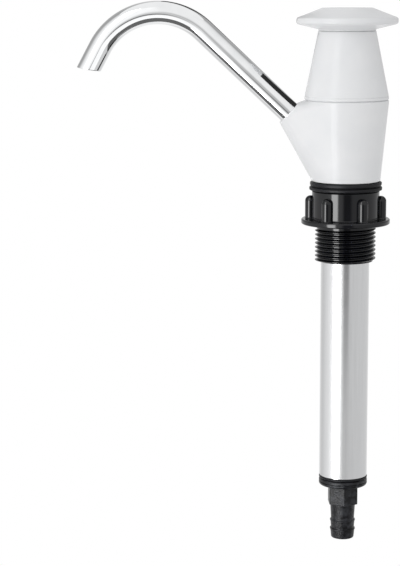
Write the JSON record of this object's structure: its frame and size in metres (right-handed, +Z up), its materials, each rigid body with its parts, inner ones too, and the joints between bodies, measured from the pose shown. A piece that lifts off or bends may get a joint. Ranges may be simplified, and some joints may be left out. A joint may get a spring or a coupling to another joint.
{
  "type": "hand water pump",
  "caption": "Push-pull galley hand pump with a mushroom knob, a swivelling head with a swan-neck spout, a lugged counter flange with pipe thread, a long barrel and a hose tail.",
  "frame": {"origin": "on the pump's axis, in the plane of the flange's underside, which sits on the counter", "axes": "+Z up along the pump's axis towards the knob, the spout reaches towards -X, the picture looks along +Y"},
  "size_m": [0.1733, 0.0548, 0.2993],
  "materials": {
    "white_plastic": "gloss moulded white",
    "black_plastic": "gloss moulded black",
    "rubber": "matt black",
    "barrel_aluminium": "satin drawn tube",
    "spout_chrome": "mirror plated",
    "stainless_steel": "ground",
    "spring_steel": "dull",
    "acetal": "machined natural",
    "piston_plastic": "moulded dark grey"
  },
  "bodies": {
    "base": {"base_fitting": "black_plastic", "swivel_gasket": "rubber", "tube_seal": "rubber", "barrel_tube": "barrel_aluminium", "foot_gasket": "rubber", "foot_plug": "black_plastic", "foot_o_ring": "rubber", "ball_cage": "acetal"},
    "head": {"pump_head": "white_plastic", "swivel_clip": "spring_steel", "spigot_o_ring": "rubber", "spout": "spout_chrome", "spout_o_ring": "rubber", "top_cap": "white_plastic", "cap_o_ring": "rubber", "gland_clip": "spring_steel", "seal_washer": "stainless_steel", "gland_plug": "acetal", "gland_o_ring": "rubber", "rod_seal": "rubber", "rod_guide": "acetal"},
    "plunger": {"knob": "white_plastic", "piston_rod": "stainless_steel", "piston": "piston_plastic", "upper_piston_ring": "rubber", "lower_piston_ring": "rubber", "valve_stop_clip": "spring_steel", "piston_washer": "stainless_steel", "piston_nut": "stainless_steel"},
    "piston_valve": {"piston_valve_disc": "rubber"},
    "foot_valve": {"foot_valve_ball": "stainless_steel"}
  },
  "joints": [
    {"name": "head_swivel", "type": "hinge", "parent": "base", "child": "head", "pos_m": [0, 0, 0], "axis": [0, 0, 1], "continuous": true},
    {"name": "plunger_slide", "type": "slide", "parent": "head", "child": "plunger", "axis": [0, 0, 1], "range_m": [0, 0.115]},
    {"name": "piston_valve_lift", "type": "slide", "parent": "plunger", "child": "piston_valve", "axis": [0, 0, 1], "range_m": [0, 0.003]},
    {"name": "foot_valve_lift", "type": "slide", "parent": "base", "child": "foot_valve", "axis": [0, 0, 1], "range_m": [0, 0.0026]}
  ]
}
